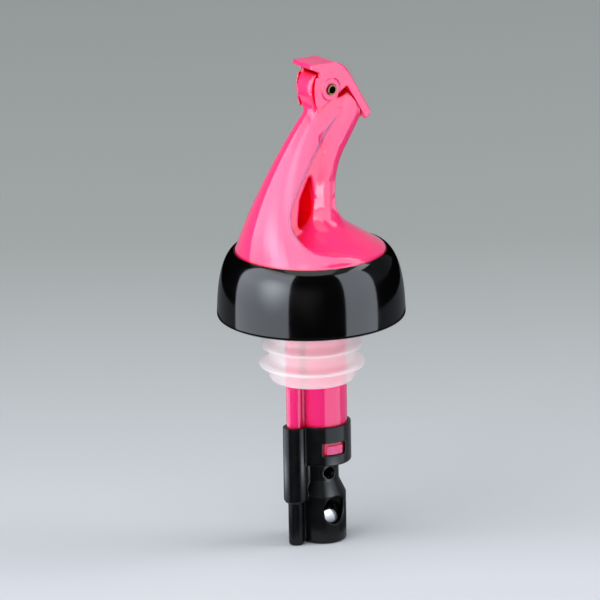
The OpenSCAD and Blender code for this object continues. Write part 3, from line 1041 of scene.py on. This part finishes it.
@dataclass
class FinnedStopper(FittedPiece):
    """Soft plug with drooping fins, cast round the twin stem.

    Attributes:
        foot_z: Height of its lower rim, in millimetres.
        height: Its height, up to the collar's web.
        radius: Radius of its body.
        rim: Steps round the lower rim, from the body's radius and the foot.
        fins: Number of fins.
        fin_first: Height of the lowest fin above the rim.
        fin_pitch: Distance from fin to fin.
        fin_radius: Radius of the lowest fin.
        fin_step: How much smaller each fin above it is.
        fin_under: Steps under a fin's root, from the body's radius and the fin's height.
        fin_tip: Steps round a fin's tip, from the fin's radius and height.
        fin_over: Steps over a fin's root, from the body's radius and the fin's height.
        flange: Steps of the flange under the web, from the body's radius and the top.
        tube_x: Place of the wide tube along X.
        tube_bore: Radius of the bore that the wide tube fills.
        vent_x: Place of the vent tube along X.
        vent_bore: Radius of the bore that the vent tube fills.
        bore_past: How far the cutters of the bores reach past the plug's ends.
        steps: Faces around.
        sharp: Angle past which an edge stays sharp, in degrees.
    """

    foot_z: float = 39.6
    height: float = 22.4
    radius: float = 10.0
    rim: tuple[Pair, ...] = ((-0.9, 0.0), (-0.3, 0.2), (0.0, 0.8))
    fins: int = 3
    fin_first: float = 3.7
    fin_pitch: float = 4.55
    fin_radius: float = 12.35
    fin_step: float = 0.5
    fin_under: tuple[Pair, ...] = ((0.0, -0.4), (0.25, 0.15), (0.9, 0.15))
    fin_tip: tuple[Pair, ...] = ((-0.5, -0.12), (-0.12, -0.06), (0.0, 0.25), (-0.15, 0.55))
    fin_over: tuple[Pair, ...] = ((1.1, 1.2), (0.35, 1.7), (0.0, 2.4))
    flange: tuple[Pair, ...] = ((0.0, -2.2), (0.4, -1.5), (1.3, -1.1), (1.4, 0.0))
    tube_x: float = 2.4
    tube_bore: float = 5.6
    vent_x: float = -5.4
    vent_bore: float = 1.5
    bore_past: float = 1.0
    steps: int = 192
    sharp: float = 50.0

    def profile(self) -> list[Pair]:
        """Outline of one side, from the middle of the foot to the middle of the top.

        Returns:
            Radius and height of each point, in millimetres.
        """
        low, high = self.foot_z, self.foot_z + self.height
        points = [(0.0, low), *steps_from(self.radius, low, self.rim)]
        for i in range(self.fins):
            z = low + self.fin_first + i * self.fin_pitch
            points += steps_from(self.radius, z, self.fin_under)
            points += steps_from(self.fin_radius - i * self.fin_step, z, self.fin_tip)
            points += steps_from(self.radius, z, self.fin_over)
        return [*points, *steps_from(self.radius, high, self.flange), (0.0, high)]

    def build(self) -> Object:
        """Turn the outline and bore it for the two tubes.

        Returns:
            The finished piece.
        """
        outline = self.profile()
        piece = put_in_scene("finned_stopper", lathe(self.node, outline, self.steps, closed=False))
        ends = (self.foot_z - self.bore_past, self.foot_z + self.height + self.bore_past)
        cut(piece, [rod("tube_bore", self.tube_x, self.tube_bore, ends),
                    rod("vent_bore", self.vent_x, self.vent_bore, ends)])
        shade_smooth(piece.data, self.sharp)
        return piece

    def dress(self, piece: Object, finish: Material) -> None:
        """Give the stopper its finish and its place, and let light past it, as its milky skin does.

        Args:
            piece: The finished piece.
            finish: Its material.
        """
        super().dress(piece, finish)
        piece.visible_shadow = False


@dataclass
class BellCollar(FittedPiece):
    """Glossy bell that hangs over the bottle's lip, with a web that carries the head.

    Attributes:
        radius: Largest radius, in millimetres.
        lip_z: Height of the lower lip.
        lip_in: Inner radius of the lip.
        lip_bend: Steps round the lip's inner edge, from lip_in and lip_z.
        edge: Radius of the round lip.
        edge_turn: First angle, last angle and step round that lip, in degrees.
        web_z: Height of the web's lower face.
        foot_z: Height of the web's upper face.
        web_hole: Radius of the opening in the web.
        bell_in: Inner radius of the bell, under the web.
        bell_bend: Steps round the corner under the web, from bell_in and web_z.
        mouth: Radius of the opening that the head stands in.
        mouth_bend: Steps round the mouth's edge, from mouth and rim_z.
        rim: Radius of the rim's crest.
        rim_z: Height of that crest.
        rim_flat: Width of the crest.
        side: Lower handles of the outer curve, as steps from the largest radius and the lip.
        shoulder: Its upper handle, as a step from the largest radius and the crest.
        curve_steps: Points along the outer curve.
        steps: Faces around.
        sharp: Angle past which an edge stays sharp, in degrees.
    """

    radius: float = 21.99
    lip_z: float = 55.1
    lip_in: float = 20.2
    lip_bend: tuple[Pair, ...] = ((-0.05, 0.3), (0.08, 0.05), (0.3, 0.0))
    edge: float = 0.8
    edge_turn: tuple[int, int, int] = (-90, 1, 9)
    web_z: float = 62.0
    foot_z: float = 64.0
    web_hole: float = 8.7
    bell_in: float = 18.1
    bell_bend: tuple[Pair, ...] = ((-0.5, 0.0), (-0.1, -0.1), (0.1, -0.5))
    mouth: float = 17.75
    mouth_bend: tuple[Pair, ...] = ((0.1, -0.03), (0.02, -0.1), (0.0, -0.25))
    rim: float = 18.1
    rim_z: float = 71.2
    rim_flat: float = 0.12
    side: tuple[Pair, ...] = ((0.0, 1.0), (-0.1, 7.0))
    shoulder: tuple[Pair, ...] = ((-0.8, -2.5),)
    curve_steps: int = 40
    steps: int = 192
    sharp: float = 40.0

    def outside(self) -> list[Pair]:
        """Outer curve.

        Returns:
            Points from above the lip to the rim's crest.
        """
        handles = [*steps_from(self.radius, self.lip_z, self.side),
                   *steps_from(self.radius, self.rim_z, self.shoulder), (self.rim, self.rim_z)]
        return [(p.x, p.y) for p in interpolate_bezier(*(Vector(h) for h in handles), self.curve_steps)]

    def profile(self) -> list[Pair]:
        """Closed outline of one side.

        Returns:
            Radius and height of each point, in millimetres.
        """
        turns = [math.radians(a) for a in range(*self.edge_turn)]
        lip = [(self.radius - self.edge + self.edge * math.cos(a),
                self.lip_z + self.edge + self.edge * math.sin(a)) for a in turns]
        return [
            (self.web_hole, self.web_z), *steps_from(self.bell_in, self.web_z, self.bell_bend),
            *steps_from(self.lip_in, self.lip_z, self.lip_bend), *lip, *self.outside(),
            (self.rim - self.rim_flat, self.rim_z), *steps_from(self.mouth, self.rim_z, self.mouth_bend),
            (self.mouth, self.foot_z), (self.web_hole, self.foot_z),
        ]

    def build(self) -> Object:
        """Turn the outline.

        Returns:
            The finished piece.
        """
        piece = put_in_scene("bell_collar", lathe(self.node, self.profile(), self.steps, closed=True))
        shade_smooth(piece.data, self.sharp)
        return piece


@dataclass
class Studio:
    """Pale floor, soft light and the camera at the photograph's angle.

    Attributes:
        azimuth: Direction of the camera round the part, in degrees.
        elevation: Height of the camera above the horizon, in degrees.
        roll: Turn of the camera about its own axis, in degrees.
        field_mm: Width of the picture at the part.
        aim_mm: Point in the middle of the picture.
        distance: Distance of the camera, in metres.
        floor_half: Half the floor's width, in metres.
        floor_cells: Faces along each side of the floor.
        floor_depth: Distances behind the part, in metres, between which the floor darkens.
        floor_near: Colour of the floor in front of them, linear.
        floor_far: Colour of the floor behind them, darkened as painted shade, linear.
        floor_rough: Roughness of the floor.
        lamp_aim: Point that the lamps look at, in metres.
        card_tint: Colour of the cards, linear.
        card_radius: Distance of the tall cards from the bottle axis, in metres.
        low_radius: Distance of the low cards round the cage.
        room_tint: Colour of the room, linear.
        room_level: Brightness of the room.
        head: Pieces that the front cards show in.
    """

    azimuth: float = -37.0
    elevation: float = 17.2
    roll: float = 0.93
    field_mm: float = 139.7
    aim_mm: Triple = (-2.08, 1.56, 58.6)
    distance: float = 4.5
    floor_half: float = 3.0
    floor_cells: int = 4
    floor_depth: Pair = (-0.03, 0.24)
    floor_near: Triple = (0.58, 0.605, 0.655)
    floor_far: Triple = (0.345, 0.365, 0.365)
    floor_rough: float = 0.7
    lamp_aim: Triple = (0.0, 0.0, 0.06)
    card_tint: Triple = (0.84, 0.9, 1.0)
    card_radius: float = 0.16
    low_radius: float = 0.0135
    room_tint: Triple = (0.95, 0.98, 1.0)
    room_level: float = 0.36
    head: list[Object] = field(default_factory=list)

    def direction(self, azimuth: float, elevation: float) -> Vector:
        """Unit vector from the part towards a place in the studio.

        Args:
            azimuth: Degrees round the part, as for the camera.
            elevation: Degrees above the horizon.

        Returns:
            The direction.
        """
        a, e = math.radians(azimuth), math.radians(elevation)
        return Vector((math.sin(a) * math.cos(e), -math.cos(a) * math.cos(e), math.sin(e)))

    def looking(self, aim: Vector, back: Vector, distance: float) -> Matrix:
        """Place of a lamp or camera that looks at a point.

        Args:
            aim: The point, in metres.
            back: Direction from the point to the lamp or camera.
            distance: Distance between them, in metres.

        Returns:
            The place and turn.
        """
        turn = back.to_track_quat("Z", "Y").to_matrix().to_4x4()
        return Matrix.Translation(aim + back * distance) @ turn

    def camera(self) -> None:
        """Make the camera."""
        data = bpy.data.cameras.new("camera")
        data.lens = data.sensor_width * self.distance / (self.field_mm * MM)
        data.clip_end = 2 * self.distance
        camera = put_in_scene("camera", data)
        back = self.direction(self.azimuth, self.elevation)
        roll = Matrix.Rotation(math.radians(-self.roll), 4, "Z")
        camera.matrix_world = self.looking(Vector(self.aim_mm) * MM, back, self.distance) @ roll
        bpy.context.scene.camera = camera

    def floor(self) -> None:
        """Make the floor, with painted shade that makes it a little darker far from the camera."""
        shape = bmesh.new()
        bmesh.ops.create_grid(shape, x_segments=self.floor_cells, y_segments=self.floor_cells,
                              size=self.floor_half)
        mesh = as_mesh("floor", shape)
        floor = put_in_scene("floor", mesh)
        graph = Graph.named("studio_floor")
        graph.settle(Roughness=self.floor_rough, Specular_IOR_Level=0.0)
        turn = graph.add("ShaderNodeMapping", Rotation=(0, 0, math.radians(-self.azimuth)))
        graph.join(graph.place(), turn.inputs["Vector"])
        # painted shade: the floor's colour darkens behind the part, where the light falls off
        depth = graph.remap(graph.along(turn.outputs["Vector"], "Y"), self.floor_depth)
        graph.join(graph.blend(depth, self.floor_near, self.floor_far), graph.shader.inputs["Base Color"])
        mesh.materials.append(graph.material)

    def softbox(self, name: str, azimuth: float, elevation: float, size: Pair, distance: float,
                watts: float) -> None:
        """Hang one soft light that looks at the part.

        Args:
            name: Name of the light.
            azimuth: Its direction round the part from the camera's, in degrees.
            elevation: Its height above the horizon, in degrees.
            size: Width and height, in metres.
            distance: Distance from the part, in metres.
            watts: Power.
        """
        data = bpy.data.lights.new(name, "AREA")
        data.shape = "RECTANGLE"
        data.size, data.size_y = size
        data.energy = watts
        light = put_in_scene(name, data)
        back = self.direction(self.azimuth + azimuth, elevation)
        light.matrix_world = self.looking(Vector(self.lamp_aim), back, distance)
        light.visible_camera = False

    def card(self, name: str, azimuth: Pair, heights: Pair, strength: Pair,
             core: tuple[float, float, float, float] = (0, 0, 0.01, 0), radius: Pair | None = None,
             levels: Pair = (0.045, 0.11), receivers: list[Object] | None = None) -> None:
        """Stand a curved card round the part that shows only in reflections.

        Args:
            name: Name of the card.
            azimuth: First and last direction round the part from the camera's, in degrees.
            heights: Lower and upper edge, in metres.
            strength: Brightness at the lower and at the upper level.
            core: Direction, height, radius and extra brightness of a brighter patch.
            radius: Distance of the lower and upper edge from the bottle axis, in metres.
            levels: Heights that the two brightnesses belong to.
            receivers: The only pieces that it is bright for, or None for all.
        """
        radius = radius or (self.card_radius, self.card_radius)
        shape = bmesh.new()
        start = self.direction(self.azimuth + azimuth[0], 0.0)
        chain = [shape.verts.new((start.x * r, start.y * r, z)) for r, z in zip(radius, heights)]
        edge = shape.edges.new(chain)
        bmesh.ops.spin(shape, geom=[*chain, edge], cent=(0, 0, 0), axis=(0, 0, 1),
                       angle=math.radians(azimuth[1] - azimuth[0]), steps=ARC_STEPS)
        card = put_in_scene(name, as_mesh(name, shape))
        card.data.materials.append(self.card_glow(name, strength, core, radius[0], levels))
        card.visible_camera = False
        card.visible_diffuse = False
        card.visible_transmission = False
        card.visible_shadow = False
        if receivers:
            group = bpy.data.collections.new(f"{name}_receivers")
            for piece in receivers:
                group.objects.link(piece)
            card.light_linking.receiver_collection = group

    def card_glow(self, name: str, strength: Pair, core: tuple[float, float, float, float], radius: float,
                  levels: Pair) -> Material:
        """Build the material of a card, whose light changes with height and round a brighter patch.

        Args:
            name: Name of the card.
            strength: Brightness at the lower and at the upper level.
            core: Direction, height, radius and extra brightness of the brighter patch.
            radius: Distance of the patch from the bottle axis, in metres.
            levels: Heights that the two brightnesses belong to.

        Returns:
            The material.
        """
        azimuth, height, size, extra = core
        graph = Graph.named(name)
        graph.settle(Base_Color=(0, 0, 0, 1), Specular_IOR_Level=0.0, Emission_Color=(*self.card_tint, 1))
        glow = graph.remap(graph.along(graph.place(), "Z"), levels, strength)
        middle = self.direction(self.azimuth + azimuth, 0.0) * radius
        reach = graph.add("ShaderNodeVectorMath")
        reach.operation = "DISTANCE"
        graph.join(graph.place(), reach.inputs[0])
        reach.inputs[1].default_value = (middle.x, middle.y, height)
        patch = graph.remap(reach.outputs["Value"], (0.0, size), (extra, 0.0), eased=True)
        graph.join(graph.calculate("ADD", glow, patch), graph.shader.inputs["Emission Strength"])
        return graph.material

    def world(self) -> None:
        """Fill the room with an even grey."""
        world = bpy.data.worlds.new("room")
        world.use_nodes = True
        back = world.node_tree.nodes["Background"]
        back.inputs["Color"].default_value = (*self.room_tint, 1)
        back.inputs["Strength"].default_value = self.room_level
        bpy.context.scene.world = world

    def lamps(self) -> None:
        """Hang the soft lights."""
        self.softbox("left_softbox", -62, 36, size=(0.9, 0.8), distance=0.9, watts=6.2)
        self.softbox("right_softbox", 95, 30, size=(0.5, 0.8), distance=0.9, watts=4.4)
        self.softbox("top_softbox", 0, 80, size=(0.8, 0.8), distance=1.0, watts=2.4)
        self.softbox("front_fill", -12, 6, size=(0.7, 0.5), distance=0.9, watts=5.6)

    def tall_cards(self) -> None:
        """Stand the cards that show in the head and the collar."""
        cage_top, strip_top = 0.034, 0.053
        front, back, side, far = (-26, 40), (83, 260), (83, 140), (140, 260)
        self.card("left_card", (-100, -26), (0.0, 0.25), strength=(2.9, 4.6), core=(-48, 0.11, 0.075, 4.5))
        self.card("right_card", (40, 83), (0.0, 0.25), strength=(3.1, 3.5))
        self.card("front_flag", front, (0.0, cage_top), strength=(0.0, 0.0))
        self.card("front_strip", front, (cage_top, strip_top), strength=(10.0, 10.0), receivers=self.head)
        self.card("front_card", front, (strip_top, 0.3), strength=(1.6, 4.0), core=(-12, 0.21, 0.08, 3.0),
                  receivers=self.head)
        self.card("back_flag", back, (0.0, cage_top), strength=(0.2, 0.2))
        self.card("side_card", side, (cage_top, 0.08), strength=(1.6, 1.6), receivers=self.head)
        self.card("side_flag", side, (0.08, 0.2), strength=(0.1, 0.1))
        self.card("far_card", far, (cage_top, 0.2), strength=(0.4, 0.4), receivers=self.head)

    def low_cards(self) -> None:
        """Stand the cards that show in the cage, and the flag under the collar's lip."""
        low = {"heights": (0.0, 0.036), "radius": (self.low_radius, self.low_radius), "levels": (0.003, 0.018)}
        self.card("low_left", (-98, -55), strength=(0.3, 2.4), core=(-78, 0.0155, 0.006, 3.0), **low)
        self.card("low_flag", (-55, 22), strength=(0.0, 0.0), **low)
        self.card("low_right", (22, 80), strength=(0.3, 2.0), core=(46, 0.0155, 0.006, 5.0), **low)
        self.card("low_back", (80, 262), strength=(0.1, 0.4), **low)
        self.card("lip_flag", (-180, 180), (0.051, 0.051), strength=(0.0, 0.0), radius=(0.0225, 0.032))

    def build(self) -> None:
        """Make the whole studio."""
        self.camera()
        self.floor()
        self.world()
        self.lamps()
        self.tall_cards()
        self.low_cards()
        bpy.context.scene.view_settings.view_transform = "Standard"
        log.info("studio ready")


def main() -> None:
    """Dress the part piece by piece and set up the studio."""
    logging.basicConfig(level=logging.INFO, format="%(name)s: %(message)s")
    finishes = Finishes()
    fitted = [
        (SpoutHead("spout_head", Body.ROOT, Slot.PINK_GLOSS, voxel_mm=0.31, passes=12), finishes.pink),
        (HoodedFlap("flap", Body.FLAP, Slot.PINK_GLOSS, voxel_mm=0.12, passes=10), finishes.pink),
        (SoftenedMoulding("metering_cage", Body.ROOT, Slot.BLACK_SATIN, voxel_mm=0.185, passes=2),
         finishes.satin),
        (FinnedStopper("stopper", Body.ROOT, Slot.MILKY_RUBBER), finishes.rubber),
        (BellCollar("collar", Body.ROOT, Slot.BLACK_GLOSS), finishes.black),
        (TwinStem("stem", Body.ROOT, Slot.PINK_GLOSS), finishes.pink),
    ]
    pieces = {}
    for maker, finish in fitted:
        pieces[maker.node] = maker.build()
        maker.dress(pieces[maker.node], finish)
    for ball in ("measuring_ball", "drain_ball", "vent_ball"):
        dress_node(ball, finishes.ball)
    dress_node("hinge_pin", finishes.pin)
    Studio(head=[pieces["spout_head"], pieces["flap"]]).build()


if __name__ == "__main__":
    main()
